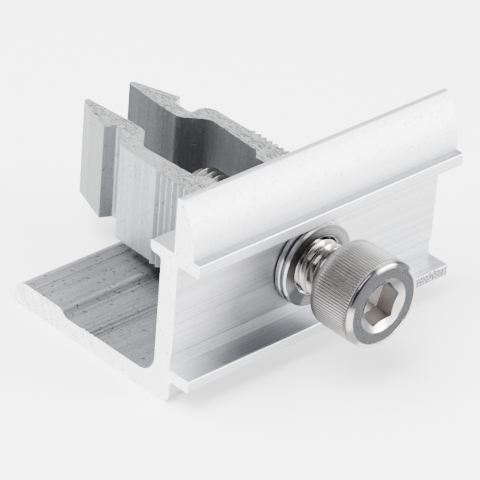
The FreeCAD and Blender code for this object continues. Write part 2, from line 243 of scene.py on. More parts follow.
def head_surface(sizes):
    """The head as one turned surface. Its radius is the turned profile's, less the ridges'
    depth times a wave that fades out at both ends of the side: the cosine of half the angle
    times the number of ridges, without its sign and raised to a power. Inside the mouth's
    cone the radius is the hexagon's."""
    back = SCREW_LOW.y + sizes.head_height
    front = SCREW_LOW.y
    radius = sizes.head_radius
    chamfer = sizes.back_chamfer
    bend = sizes.front_round
    run = sizes.front_run
    samples = sizes.ridges * RIDGE_SAMPLES
    angle = np.arange(samples) * 2 * math.pi / samples
    rows = []

    def row(at_radius, at_along):
        rows.append(turned(at_radius + 0.0 * angle, at_along + 0.0 * angle, angle))

    for share in (0.0, 0.5):
        row(share * radius, back)
    for step in np.linspace(0.0, 1.0, CHAMFER_ROWS):
        tilt = step * math.pi / 2
        row(radius - sizes.ridge_depth / 2 - chamfer * (1 - math.sin(tilt)),
            back - chamfer * (1 - math.cos(tilt)))
    wave = np.abs(np.cos(angle * sizes.ridges / 2)) ** RIDGE_POWER
    start = back - chamfer
    end = front + run + ROUND_GAP
    for step in np.linspace(0.0, 1.0, SIDE_ROWS):
        fade = min(1.0, RIDGE_RISE * step, RIDGE_FALL * (1.0 - step))
        groove = sizes.ridge_depth * fade * wave
        inset = sizes.ridge_depth / 2 * (1 - fade) if step < 0.5 else 0.0
        row(radius - inset - groove, start + (end - start) * step)
    for step in np.linspace(0.0, 1.0, ROUND_ROWS):
        tilt = step * math.pi / 2
        row(radius - bend * (1 - math.cos(tilt)), front + run * (1 - math.sin(tilt)))
    lip = FACE_LIP
    row(radius - bend - 0.5 * lip, front + lip)
    row(radius - bend - 2 * lip, front + lip)
    row(sizes.mouth_radius + lip, front + lip)
    key = hexagon_radius(angle, sizes.key_width, sizes.key_turn)
    row(sizes.mouth_radius, front + lip)
    row(sizes.mouth_radius - 0.5 * lip, front + 2 * lip)
    depth = (sizes.mouth_radius - key) * sizes.mouth_slope + 2 * lip
    row(key + lip, front + depth - 0.5 * lip)
    row(key, front + depth)
    for share in WALL_SHARES:
        row(key, front + depth + (sizes.key_depth - depth) * share)
    row(0.5 * key, front + sizes.key_depth + SOCKET_DIP)
    row(0.0, front + sizes.key_depth + 2 * SOCKET_DIP)
    return np.array(rows)


def thread_surface(start, end, root, crest, pitch, limit):
    """A right-handed thread. Each profile point runs along its own helix: its place along
    the axis is the pitch times the turns so far, its radius the root's plus its height's
    share of the thread's depth, and the next turn's first point closes the flank. Places
    are clipped to the two ends and the radius to a limit there."""
    turns = int(math.ceil((end - start) / pitch)) + 3
    step = np.arange(turns * TURN_SAMPLES + 1)
    first = (math.floor(start / pitch) - 1) * pitch
    share, height = np.array(THREAD_PROFILE).T
    along = first + pitch * (step[:, None] / TURN_SAMPLES + share[None, :])
    radius = root + (crest - root) * height[None, :] + 0.0 * along
    angle = 2 * math.pi * step[:, None] / TURN_SAMPLES + 0.0 * along
    along = np.clip(along, start, end)
    radius = limit(along, radius)
    points = turned(radius, along, angle)
    last = points[TURN_SAMPLES:, :1]
    return np.concatenate([points[:len(step) - TURN_SAMPLES], last], axis=1)


def screw_thread_mesh(sizes):
    """The threaded shank: a helical surface whose radius falls to a cone at each end, with a
    disc at each end."""
    start = SCREW_LOW.y + sizes.head_height - THREAD_IN_HEAD
    end = SCREW_HIGH.y
    tip = sizes.crest_radius - sizes.end_taper - TIP_SETBACK

    def limit(along, radius):
        return np.minimum(radius, tip + np.minimum(along - start, end - along))

    points = thread_surface(start, end, sizes.root_radius, sizes.crest_radius, sizes.pitch, limit)
    mesh = sheet_mesh("screw_thread", points, wrap=False)
    return join_meshes(mesh, [disc_mesh(tip, start), disc_mesh(tip, end)])


def ring_angles():
    """The angles of the points round one turn of the thread."""
    return 2 * math.pi * np.arange(TURN_SAMPLES) / TURN_SAMPLES


def join_meshes(mesh, others):
    """Adds the other meshes to the first and removes them."""
    shape = bmesh.new()
    for part in (mesh, *others):
        shape.from_mesh(part)
    shape.to_mesh(mesh)
    shape.free()
    for part in others:
        bpy.data.meshes.remove(part)
    return mesh


def disc_mesh(radius, place):
    """A flat disc across the screw's axis at a place along it."""
    mesh = bpy.data.meshes.new("screw_end")
    mesh.from_pydata(turned(radius, place, ring_angles()).tolist(), [], [range(TURN_SAMPLES)])
    return mesh


def nut_thread_mesh(sizes, screw):
    """The nut's thread: the screw's helix set out by a gap, its crests clipped at the nut's
    bore, with a plain sleeve outside it and a flat ring at each end."""
    start = NUT_LOW.y + sizes.end_gap
    end = NUT_LOW.y + sizes.base_thickness - sizes.end_gap
    gap = sizes.thread_gap
    mouth = screw.crest_radius + gap

    def limit(along, radius):
        return np.maximum(radius, mouth - np.minimum(along - start, end - along))

    thread = thread_surface(
        start, end, screw.root_radius + ROOT_GAPS * gap, mouth, screw.pitch, limit)
    mesh = sheet_mesh("nut_thread", thread, wrap=False)
    angle = ring_angles()
    sleeve = np.array([
        turned(mouth + 0.0 * angle, start, angle),
        turned(sizes.sleeve_radius + 0.0 * angle, start, angle),
        turned(sizes.sleeve_radius + 0.0 * angle, end, angle),
        turned(mouth + 0.0 * angle, end, angle),
    ])
    return join_meshes(mesh, [sheet_mesh("nut_sleeve", sleeve, wrap=True)])


# Finishes

# A range holds where a change starts and ends, then the values before and after it. Places
# are in millimetres from the origin, and fineness is in cells per millimetre. Three of the
# Mix node's sockets are known by number.

NEAR_BLACK = (0.025, 0.025, 0.028)
SQUARE_ON = (0.75, 0.85)
MIX_FACTOR = 0
MIX_FIRST = 6
MIX_SECOND = 7


class Finish:
    """A material being built node by node, from patterns in the object's own millimetres."""

    def __init__(self, name, metallic=1.0):
        self.material = bpy.data.materials.new(name)
        self.material.use_nodes = True
        self.tree = self.material.node_tree
        self.shader = self.tree.nodes["Principled BSDF"]
        self.shader.inputs["Metallic"].default_value = metallic
        self.where = self.add("ShaderNodeTexCoord")

    def add(self, kind, inputs=None, **settings):
        """A node with its settings, and each input joined to a socket or given a value."""
        made = self.tree.nodes.new(kind)
        for name, value in settings.items():
            setattr(made, name, value)
        for name, value in (inputs or {}).items():
            if isinstance(value, bpy.types.NodeSocket):
                self.tree.links.new(value, made.inputs[name])
            else:
                made.inputs[name].default_value = value
        return made

    def math(self, operation, first, *others):
        """A sum on sockets or numbers, taken from the first to the last."""
        result = first
        for value in others or (0.0,):
            result = self.add("ShaderNodeMath", {0: result, 1: value}, operation=operation).outputs[0]
        return result

    def times(self, *values):
        """The product of sockets or numbers."""
        return self.math("MULTIPLY", *values)

    def plus(self, *values):
        """The total of sockets or numbers."""
        return self.math("ADD", *values)

    def most(self, *values):
        """The largest of sockets or numbers."""
        return self.math("MAXIMUM", *values)

    def noise(self, per_mm, detail=2.0, roughness=0.5, shift=(0.0, 0.0, 0.0), tilt=0.0):
        """A noise from 0 to 1 with its own fineness along X, Y and Z, first tilted about X."""
        turned_spot = self.add("ShaderNodeMapping", {
            "Vector": self.where.outputs["Object"], "Rotation": (tilt, 0.0, 0.0)})
        spot = self.add("ShaderNodeMapping", {
            "Vector": turned_spot.outputs[0],
            "Location": shift,
            "Scale": tuple(PER_MM * fineness for fineness in per_mm)})
        return self.add("ShaderNodeTexNoise", {
            "Vector": spot.outputs[0], "Scale": 1.0, "Detail": detail,
            "Roughness": roughness}).outputs["Fac"]

    def ramp(self, value, low, high, at_low=0.0, at_high=1.0):
        """A value carried from one range to another, held at its ends."""
        return self.add("ShaderNodeMapRange", {
            "Value": value, "From Min": low, "From Max": high,
            "To Min": at_low, "To Max": at_high}, clamp=True).outputs[0]

    def spot(self, spans, core):
        """1 inside the core of a round spot, falling to 0 at its rim. Each span is a place,
        its middle and its reach."""
        squares = []
        for place, middle, reach in spans:
            off = self.math("DIVIDE", self.math("SUBTRACT", place, middle), reach)
            squares.append(self.times(off, off))
        return self.ramp(self.math("SQRT", self.plus(*squares)), core, 1.0, 1.0, 0.0)

    def sector(self, across, up, out, turn, reach, core):
        """1 within an angle of a turn about the screw, falling to 0 at a wider one. Angles are
        in degrees, clockwise from the top as the head's face is seen."""
        towards = self.plus(self.times(across, math.sin(math.radians(turn))),
                            self.times(up, math.cos(math.radians(turn))))
        return self.ramp(self.math("DIVIDE", towards, out),
                         math.cos(math.radians(reach)), math.cos(math.radians(core)))

    def facing(self, axis):
        """1 on faces square to an axis, 0 elsewhere."""
        parts = self.add("ShaderNodeSeparateXYZ", {0: self.where.outputs["Normal"]})
        return self.ramp(self.math("ABSOLUTE", parts.outputs[axis]), *SQUARE_ON)

    def place(self, axis):
        """The place along an axis, in millimetres."""
        parts = self.add("ShaderNodeSeparateXYZ", {0: self.where.outputs["Object"]})
        return self.times(parts.outputs[axis], PER_MM)

    def about_screw(self):
        """The places across and up from the screw's axis and the distance from it, in
        millimetres."""
        across = self.place(0)
        up = self.math("SUBTRACT", self.place(2), AXIS_HEIGHT * PER_MM)
        squares = self.plus(self.times(across, across), self.times(up, up))
        return across, up, self.math("SQRT", squares)

    def blend(self, factor, first, second):
        """A colour between two colours, each a socket or three numbers."""
        made = self.add("ShaderNodeMix", data_type="RGBA")
        for index, value in ((MIX_FACTOR, factor), (MIX_FIRST, first), (MIX_SECOND, second)):
            if isinstance(value, bpy.types.NodeSocket):
                self.tree.links.new(value, made.inputs[index])
            elif index == MIX_FACTOR:
                made.inputs[index].default_value = value
            else:
                made.inputs[index].default_value = (*value, 1.0)
        return made.outputs[2]

    def shade(self, base, amount):
        """A colour taken towards near black by a factor from 0 to 1."""
        return self.blend(amount, base, NEAR_BLACK)

    def mix(self, factor, first, second):
        """A number between two numbers or sockets."""
        return self.add("ShaderNodeMix", {0: factor, 2: first, 3: second},
                        data_type="FLOAT").outputs[0]

    def finish(self, base, rough, height, depth_mm, strength=1.0):
        """Joins colour, roughness and a bump of a depth in millimetres to the shader."""
        bump = self.add("ShaderNodeBump", {
            "Height": height, "Distance": depth_mm * MM, "Strength": strength})
        self.tree.links.new(base, self.shader.inputs["Base Color"])
        if isinstance(rough, bpy.types.NodeSocket):
            self.tree.links.new(rough, self.shader.inputs["Roughness"])
        else:
            self.shader.inputs["Roughness"].default_value = rough
        self.tree.links.new(bump.outputs[0], self.shader.inputs["Normal"])
        return self.material


def lines_along(axis, fine, coarse):
    """The fineness that draws lines along an axis."""
    return tuple(coarse if index == axis else fine for index in range(3))


# Drawn aluminium: patterns, shares of them, and ranges

FINE_LINES = (4.5, 0.02)
FINE_DETAIL = 3.0
BROAD_LINES = (0.55, 0.008)
BROAD_SHIFT = (3.0, 7.0, 1.0)
FINE_SHARE = 0.55
BROAD_SHARE = 0.45
METAL_GRAIN = {"per_mm": (3.2, 3.2, 3.2), "detail": 3.0, "roughness": 0.75, "shift": (8.0, 1.0, 6.0)}
METAL_SPECKS = {"per_mm": (1.5, 1.5, 1.5), "detail": 3.0, "roughness": 0.7, "shift": (11.0, 2.0, 5.0)}
SAWN_ACROSS_X = (0.9, 5.0, 0.35)
SAWN_ACROSS_Z = (5.0, 0.5, 0.9)
SAW_MARKS = {"detail": 3.0, "roughness": 0.65, "shift": (2.0, 9.0, 4.0), "tilt": math.radians(28.0)}
SAW_SHARE = 0.5
LINE_SHADE = (0.36, 0.60, 0.30, 0.0)
PITS = (0.61, 0.65)
MORE_PITS = (0.9, 1.0, 0.0, 0.01)
PIT_SHADE = 0.8
SAWN_SHADE = (0.42, 0.54, 1.0, 0.0)
SAWN_SPECKS = (0.63, 0.66, 0.0, 0.7)
DRAWN_ROUGH = (0.3, 0.7, 0.46, 0.36)
DULL_ROUGH = 0.55
SAWN_ROUGH = 0.5
DRAWN_RELIEF = 0.04


def drawn_aluminium(name, draw_axis, base, sawn, wear_and_shade):
    """Extruded aluminium: fine die lines along the draw, pits, and pale sawn ends. The function
    passed in last says how far the drawn faces are darkened, partly as wear and partly as painted
    shade, where pits crowd, how rough the faces are, how much the sawn ends are darkened and how
    strong the die lines are."""
    work = Finish(name)
    fine = work.noise(lines_along(draw_axis, *FINE_LINES), detail=FINE_DETAIL)
    broad = work.noise(lines_along(draw_axis, *BROAD_LINES), shift=BROAD_SHIFT)
    lines = work.plus(work.times(fine, FINE_SHARE), work.times(broad, BROAD_SHARE))
    grain = work.noise(**METAL_GRAIN)
    specks = work.noise(**METAL_SPECKS)
    saw = work.facing(draw_axis)
    cut = work.noise(SAWN_ACROSS_X if draw_axis == 0 else SAWN_ACROSS_Z, **SAW_MARKS)
    dull_and_shade, crowd, satin, sawn_dull, streaky = wear_and_shade(work, grain, lines)
    more = work.plus(specks, work.ramp(crowd, *MORE_PITS))
    pits = work.times(work.ramp(more, *PITS), crowd)
    drawn = work.shade(base, work.times(work.ramp(lines, *LINE_SHADE), streaky))
    # This darkening is partly wear and partly painted shade.
    drawn = work.shade(drawn, dull_and_shade)
    drawn = work.shade(drawn, work.times(pits, PIT_SHADE))
    rough_saw = work.plus(work.times(cut, SAW_SHARE), work.times(grain, 1.0 - SAW_SHARE))
    sawn_colour = work.shade(sawn, work.times(work.ramp(rough_saw, *SAWN_SHADE), sawn_dull))
    sawn_colour = work.shade(sawn_colour, work.ramp(specks, *SAWN_SPECKS))
    relief = work.math("SUBTRACT", work.times(lines, streaky), pits)
    height = work.mix(saw, relief, rough_saw)
    drawn_rough = work.mix(satin, work.ramp(lines, *DRAWN_ROUGH), DULL_ROUGH)
    rough = work.mix(saw, drawn_rough, SAWN_ROUGH)
    return work.finish(work.blend(saw, drawn, sawn_colour), rough, height, DRAWN_RELIEF)


# The clamp's wear and its painted shade. A middle is followed by a reach.

FOOT_TOP = (3.8, 4.6, 1.0, 0.0)
FOOT_START = (1.4, 4.5)
# The foot top's darkening, varied with grain, is painted shade.
FOOT_GRAIN_AND_SHADE = (0.35, 0.65, 0.62, 0.44)
FOOT_LINES = (0.36, 0.5, 0.2, 0.0)
PAD_START = (17.0, 21.0)
# Painted shade on the pad towards the nut, and under and beside the nut.
PAD_SHADE_TO_NUT = (-24.0, -10.0, -0.1, 0.06)
SHADE_BY_NUT_ACROSS = (7.9, 10.0, 0.8, 0.0)
SHADE_BY_NUT_END = (25.0, 29.0, 1.0, 0.0)
WEB_FRONT = (-1.5, -1.3, 1.0, 0.0)
# A soft spot of painted shade on the web's front beside the washers, standing for the reflected
# shadow under the head.
WEB_SHADE_FLOOR = (5.7, 8.2, 0.3, 1.0)
WEB_SHADE_ALONG = (-9.0, 15.0)
WEB_SHADE_UP = (11.0, 9.0)
WEB_SHADE_CORE = 0.33
WEB_SHADE_DARKNESS = 0.72
RIB_TOP_START = (5.4, 5.5)
RIB_TOP_END = (5.65, 5.75, 1.0, 0.0)
# A soft band of painted shade on the lower rib's top, for the head's dark reflection.
RIB_SHADE_ALONG = (-10.5, 14.0)
RIB_SHADE_CORE = 0.5
RIB_SHADE_DARKNESS = 0.55
RIB_FRONT = (-5.25, -5.15, 1.0, 0.0)
RIB_BELOW = (6.0, 6.2, 1.0, 0.0)
RIB_END = (14.0, 18.0)
RIB_MARKS = {"per_mm": (2.6, 3.4, 3.4), "detail": 3.0, "roughness": 0.6, "shift": (1.0, 4.0, 2.0)}
RIB_MARK_DULL = (0.46, 0.52, 0.98, 0.25)
# The upper rib's top is darkened evenly as painted shade.
SHELF_START = (24.1, 24.2)
SHELF_END = (24.5, 24.6, 1.0, 0.0)
SHELF_SHADE_DARKNESS = 0.42
CLAMP_PITS = (0.0, 1.0, 0.3, 0.9)
PAD_PITS = 0.1
FOOT_SATIN = 0.5
LIP_SATIN = (23.5, 26.0, 0.0, 0.9)
LIP_LINES = (22.0, 25.0, 1.15, 0.25)
LOW_LINES = (5.7, 6.2, 0.7, 1.0)
CLAMP_SAWN_DULL = (3.0, 20.0, 0.2, 0.45)


def clamp_wear_and_shade(work, grain, lines):
    """The clamp is rougher and pitted on the upper side of its foot, most pitted on the pad at the
    foot's end, and that side is darkened with grain and towards the nut, most under and beside it:
    painted shade. Its web and lower rib have a soft spot of painted shade each, the rib is marked at
    one end, the upper rib's top is darkened as painted shade, and the rest is clean."""
    along_clamp, from_web, up = (work.place(axis) for axis in range(3))
    foot = work.times(work.ramp(up, *FOOT_TOP), work.ramp(from_web, *FOOT_START))
    pad = work.times(foot, work.ramp(from_web, *PAD_START))
    # Painted shade under and beside the nut.
    shade_by_nut = work.times(foot, work.ramp(from_web, *SHADE_BY_NUT_END),
                        work.ramp(work.math("ABSOLUTE", along_clamp), *SHADE_BY_NUT_ACROSS))
    front = work.ramp(from_web, *WEB_FRONT)
    # Painted shade: a soft spot on the web's front beside the washers, for the reflected shadow under
    # the head.
    web_shade = work.spot(((along_clamp, *WEB_SHADE_ALONG), (up, *WEB_SHADE_UP)), WEB_SHADE_CORE)
    web_shade = work.times(web_shade, front, work.ramp(up, *WEB_SHADE_FLOOR), WEB_SHADE_DARKNESS)
    # Painted shade: a soft band on the lower rib's top, for the head's dark reflection.
    rib_shade = work.spot(((along_clamp, *RIB_SHADE_ALONG),), RIB_SHADE_CORE)
    rib_shade = work.times(rib_shade, front, work.ramp(up, *RIB_TOP_START),
                          work.ramp(up, *RIB_TOP_END), RIB_SHADE_DARKNESS)
    rib_end = work.times(work.ramp(from_web, *RIB_FRONT), work.ramp(up, *RIB_BELOW),
                         work.ramp(along_clamp, *RIB_END))
    rib_marks = work.times(rib_end, work.ramp(work.noise(**RIB_MARKS), *RIB_MARK_DULL))
    # Painted shade: the upper rib's top is darkened evenly.
    shelf_shade = work.times(work.facing(2), work.ramp(up, *SHELF_START), work.ramp(up, *SHELF_END),
                       SHELF_SHADE_DARKNESS)
    # The foot's top is darkened with grain and more towards the nut: painted shade.
    dull_and_shade = work.plus(work.times(foot, work.ramp(grain, *FOOT_GRAIN_AND_SHADE)),
                     work.times(pad, work.ramp(along_clamp, *PAD_SHADE_TO_NUT)))
    dull_and_shade = work.most(dull_and_shade, shade_by_nut, web_shade, rib_shade)
    dull_and_shade = work.plus(dull_and_shade, work.times(foot, work.ramp(lines, *FOOT_LINES)))
    dull_and_shade = work.most(dull_and_shade, rib_marks, shelf_shade)
    crowd = work.plus(work.ramp(work.most(foot, rib_end), *CLAMP_PITS), work.times(pad, PAD_PITS))
    satin = work.most(work.times(foot, FOOT_SATIN), work.ramp(up, *LIP_SATIN))
    streaky = work.times(work.ramp(up, *LIP_LINES), work.ramp(up, *LOW_LINES))
    return dull_and_shade, crowd, satin, work.ramp(from_web, *CLAMP_SAWN_DULL), streaky


# The nut's wear and its painted shade

NUT_INWARD = (-1.5, -0.3, 1.0, 0.0)
NUT_NOSE = (BARB_END, BARB_END + 0.1)
NOSE_DARKENING = (0.0, 0.1, 0.42, 0.0)
INNER_LINES = (0.38, 0.6, 0.05, 0.0)
# Painted shade on the faces that look inward, growing towards the noses.
INNER_SHADE = (SHOULDER_END - 1.0, SHOULDER_END + 4.0, 0.63, 0.86)
NUT_GRAIN = (0.4, 0.7, 0.0, 0.08)
NUT_PITS = 0.6
BRIGHT_ARM = (-2.5, -1.5, 1.0, 0.0)
BEFORE_BARB = (SHOULDER_END - 0.4, SHOULDER_END, 1.0, 0.0)
PAST_TEETH = (TEETH_END - 1.5, TEETH_END + 1.5)
NUT_SAWN_DULL = (0.0, 1.0, 0.85, 0.35)
NUT_LINES = (0.0, 1.0, 0.9, 0.3)


def nut_wear_and_shade(work, grain, lines):
    """The nut is darkened with painted shade on the faces that look at its middle, more towards its
    noses, and its noses' other faces are a little darker. Its sawn ends are brightest on one arm,
    between barb and teeth."""
    parts = work.add("ShaderNodeSeparateXYZ", {0: work.where.outputs["Normal"]})
    across, from_web = work.place(0), work.place(1)
    inward = work.ramp(work.times(across, parts.outputs[0]), *NUT_INWARD)
    # Painted shade on the faces that look inward, growing towards the noses; the noses' other faces
    # are a little darker.
    nose_darkening = work.times(work.ramp(from_web, *NUT_NOSE), work.ramp(inward, *NOSE_DARKENING))
    inner_lines_and_shade = work.plus(work.ramp(lines, *INNER_LINES), work.ramp(from_web, *INNER_SHADE))
    dull_and_shade = work.plus(work.most(work.times(inward, inner_lines_and_shade), nose_darkening), work.ramp(grain, *NUT_GRAIN))
    bright = work.times(work.ramp(across, *BRIGHT_ARM), work.ramp(from_web, *BEFORE_BARB),
                        work.ramp(from_web, *PAST_TEETH))
    sawn_dull = work.ramp(bright, *NUT_SAWN_DULL)
    return dull_and_shade, NUT_PITS, inward, sawn_dull, work.ramp(inward, *NUT_LINES)


# The screw's steel. Places are measured from the head's front and out from the screw's axis, insets
# from an edge. An arc of painted dark reflection holds its turn, reach and core in degrees and its
# darkness.

FADE = 0.03
FACE_DEPTH = (0.075, 0.1, 1.0, 0.0)
FACE_SETBACK = 0.02
CONE_SETBACK = 0.03
ROUND_OVERLAP = 0.06
ROUND_DEPTH = (0.7, 0.9, 1.0, 0.0)
# Arcs of painted dark reflection on the front round.
ROUND_REFLECTION_ARCS = ((315.0, 37.0, 26.0, 0.97), (31.0, 21.0, 13.0, 0.97), (240.0, 19.0, 11.0, 0.75))
SIDE_INSET = (0.3, 0.2)
SIDE_START = (0.9, 1.0)
# Painted shade in the knurl's grooves, the thread's roots and on the socket's walls.
GROOVE_SHADE = 0.95
CREST_INSET = 0.02
THREAD_SHADE = 0.8
SHANK_FADE = 0.1
KEY_WALL_OUT = (3.6, 3.9, 1.0, 0.0)
KEY_WALL_END = (0.1, 0.05)
KEY_WALL_SHADE = 0.12
CONE_DEPTH = (1.0, 1.1, 1.0, 0.0)
# A painted dark reflection on one side of the socket's mouth cone.
CONE_SHADE = (0.0, 4.5, 0.92, 0.0)
FACE_SATIN = {"per_mm": (5.0, 5.0, 5.0), "detail": 3.0, "roughness": 0.7}
FACE_GLINTS = (0.35, 0.65)
STEEL_CLOUD = {"per_mm": (0.35, 0.35, 0.35), "shift": (5.0, 1.0, 2.0)}
CLOUD_SHADE = (0.3, 0.7, 0.15, 0.0)
BRIGHT_ROUGH = 0.16
SIDE_ROUGH = 0.3
FACE_ROUGH = 0.36
STEEL_RELIEF = 0.02


def screw_steel(colours, sizes):
    """Stainless steel: bright thread and rounds, pale knurl, and a satin grey face. Painted shade
    darkens the knurl's grooves, the thread roots and the socket's walls, and painted dark reflections
    lie on one side of the socket's cone and in arcs on the front round."""
    work = Finish("screw_steel")
    across, up, out = work.about_screw()
    from_front = work.math("SUBTRACT", work.place(1), SCREW_LOW.y * PER_MM)
    rim = sizes.head_radius * PER_MM
    face = sizes.mouth_radius * PER_MM + FACE_SETBACK
    cone_rim = sizes.mouth_radius * PER_MM + CONE_SETBACK
    bend = (sizes.head_radius - sizes.front_round) * PER_MM - ROUND_OVERLAP
    shank = sizes.head_height * PER_MM
    root = sizes.root_radius * PER_MM
    key_depth = sizes.key_depth * PER_MM
    face_zone = work.times(work.ramp(from_front, *FACE_DEPTH), work.ramp(out, face, face + FADE),
                           work.ramp(out, bend, bend + FADE, 1.0, 0.0))
    side = work.times(work.ramp(out, *(rim - inset for inset in SIDE_INSET)),
                      work.ramp(from_front, *SIDE_START))
    # Painted shade, darker into the knurl's grooves, the thread's roots and on the socket's walls.
    grooves = work.ramp(out, rim - sizes.ridge_depth * PER_MM, rim - CREST_INSET, GROOVE_SHADE, 0.0)
    roots = work.ramp(out, root + SHANK_FADE, sizes.crest_radius * PER_MM, THREAD_SHADE, 0.0)
    key_end = (key_depth - inset for inset in KEY_WALL_END)
    key_wall = work.times(work.ramp(out, *KEY_WALL_OUT), work.ramp(from_front, *key_end, 1.0, 0.0))
    # Painted dark reflection on one side of the socket's mouth cone.
    cone = work.times(work.ramp(out, cone_rim, cone_rim + FADE, 1.0, 0.0),
                      work.ramp(from_front, *CONE_DEPTH),
                      work.ramp(work.math("SUBTRACT", across, up), *CONE_SHADE))
    dark = work.most(work.times(grooves, side),
                     work.times(roots, work.ramp(from_front, shank, shank + SHANK_FADE)),
                     work.times(key_wall, KEY_WALL_SHADE), cone)
    front_round = work.times(work.ramp(from_front, *ROUND_DEPTH), work.ramp(out, bend, bend + FADE))
    # Arcs of painted dark reflection on the front round.
    for turn, reach, core, darkness in ROUND_REFLECTION_ARCS:
        arc = work.sector(across, up, out, turn, reach, core)
        dark = work.most(dark, work.times(arc, front_round, darkness))
    cloud = work.ramp(work.noise(**STEEL_CLOUD), *CLOUD_SHADE)
    base = work.shade(work.shade(colours.steel, cloud), dark)
    satin = work.noise(**FACE_SATIN)
    satin_colour = work.blend(work.ramp(satin, *FACE_GLINTS), colours.steel_face, colours.steel_glint)
    rough = work.mix(work.most(side, key_wall), BRIGHT_ROUGH, SIDE_ROUGH)
    rough = work.mix(face_zone, rough, FACE_ROUGH)
    return work.finish(work.blend(face_zone, base, satin_colour), rough,
                       work.times(satin, face_zone), STEEL_RELIEF)


# The washers' steel, with arcs of painted reflection. An arc holds its turn, reach and core in
# degrees.

RINGS = {"Scale": 3.5, "Detail": 3.0}
WASHER_GRAIN = (4.0, 4.0, 4.0)
GRAIN_SHARE = 0.2
RING_SHADE = (0.45, 0.75, 0.97, 0.6)
# Arcs of painted reflection: dark towards the low left and the right, light towards the left.
LOW_LEFT_ARC = (225.0, 32.0, 14.0)
RIGHT_ARC = (62.0, 40.0, 22.0)
RIGHT_ARC_OUT = (4.7, 5.5, 1.0, 0.3)
ARC_SHADE = 0.97
LEFT_ARC = (270.0, 26.0, 8.0)
LEFT_HIGHLIGHT_SHARE = 0.3
RIM_SHADE = (RIM_START, RIM_START + 0.15, 0.0, 0.9)
# Painted shade in lines where the washers meet and at the rear washer's back.
MEETING_LINE = (0.1, 0.2, 0.95, 0.0)
BACK_LINE = (WASHER_BACK - 0.2, WASHER_BACK - 0.1, 0.0, 0.95)
RIM_ROUGH = 0.14
RING_ROUGH = 0.32
RING_RELIEF = 0.008


def washer_steel(colours):
    """Stainless sheet: a bright edge, faces brushed in rings about the screw with painted dark
    reflections towards some turns and a painted highlight towards one, and painted shade in lines
    where the washers meet and at the back."""
    work = Finish("washer_steel")
    across, up, out = work.about_screw()
    rings = work.add("ShaderNodeTexNoise", {"W": out, **RINGS}, noise_dimensions="1D").outputs["Fac"]
    flat = work.facing(1)
    grain = work.times(work.noise(WASHER_GRAIN), GRAIN_SHARE)
    # Arcs of painted reflection: dark towards the low left and the right, light towards the left.
    right = work.times(work.sector(across, up, out, *RIGHT_ARC), work.ramp(out, *RIGHT_ARC_OUT))
    arcs = work.most(work.sector(across, up, out, *LOW_LEFT_ARC), right)
    left_highlight = work.times(work.sector(across, up, out, *LEFT_ARC), LEFT_HIGHLIGHT_SHARE)
    tone = work.most(work.ramp(work.plus(rings, grain), *RING_SHADE), work.times(arcs, ARC_SHADE))
    tone = work.times(tone, work.math("SUBTRACT", 1.0, left_highlight))
    tone = work.times(work.most(tone, work.ramp(out, *RIM_SHADE)), flat)
    # Painted shade in lines where the washers meet and at the rear washer's back.
    back = work.math("SUBTRACT", work.place(1), WASHER_MEET)
    edges = work.plus(work.ramp(work.math("ABSOLUTE", back), *MEETING_LINE),
                      work.ramp(back, *BACK_LINE))
    base = work.shade(colours.washer, work.most(tone, edges))
    return work.finish(base, work.mix(flat, RIM_ROUGH, RING_ROUGH), rings, RING_RELIEF)


# The floor's finish

FLOOR_CLOUD = (0.02, 0.02, 0.02)
FLOOR_UNEVEN = (0.3, 0.7, 0.0, 0.02)
FLOOR_GREY = (0.8, 0.8, 0.8)
FLOOR_ROUGH = 0.9
FLOOR_RELIEF = 0.01
FLOOR_BUMP = 0.1


def floor_finish(stage):
    """Plain pale floor with a hardly visible unevenness."""
    work = Finish("floor", metallic=0.0)
    cloud = work.noise(FLOOR_CLOUD, detail=1.0)
    base = work.blend(work.ramp(cloud, *FLOOR_UNEVEN), tuple(stage.floor_colour), FLOOR_GREY)
    return work.finish(base, FLOOR_ROUGH, cloud, FLOOR_RELIEF, strength=FLOOR_BUMP)


def repaint(node, material):
    """Gives a node of the frame its finish in every slot."""
    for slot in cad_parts[node].material_slots:
        slot.material = material


# Stage. A fade holds the cosines where the room's light starts and stops falling. A lamp has a
# name, the property of its power, a width and a place in metres.

FLOOR_DROP = 0.05 * MM
DARK_SIDE_FADE = (-0.25, 0.85)
CAMERA_FADE = (0.62, 0.86)
LAMPS = (
    ("key_lamp", "key_light", 0.5, (-0.3, 0.0, 0.6)),
    ("fill_lamp", "fill_light", 0.45, (0.56, -0.68, 0.2)),
)
SENSOR_WIDTH = 36.0
CLIP_START = 10.0 * MM


def make_floor(stage):
    """A flat square just under the foot."""
    half = stage.floor_size / 2
    mesh = bpy.data.meshes.new("floor")
    mesh.from_pydata(
        [(across, deep, -FLOOR_DROP) for across, deep in
         ((-half, -half), (half, -half), (half, half), (-half, half))],
        [], [(0, 1, 2, 3)])
    mesh.materials.append(floor_finish(stage))
    floor = bpy.data.objects.new("floor", mesh)
    bpy.context.scene.collection.objects.link(floor)


def room_share(tree, direction, start, end, share):
    """A share of the room's light that falls from 1 as the view turns towards a direction."""
    spot = tree.nodes.new("ShaderNodeTexCoord")
    towards = tree.nodes.new("ShaderNodeVectorMath")
    towards.operation = "DOT_PRODUCT"
    towards.inputs[1].default_value = direction
    fade = tree.nodes.new("ShaderNodeMapRange")
    for name, value in (("From Min", start), ("From Max", end), ("To Min", 1.0), ("To Max", share)):
        fade.inputs[name].default_value = value
    tree.links.new(spot.outputs["Generated"], towards.inputs[0])
    tree.links.new(towards.outputs["Value"], fade.inputs["Value"])
    return fade.outputs[0]


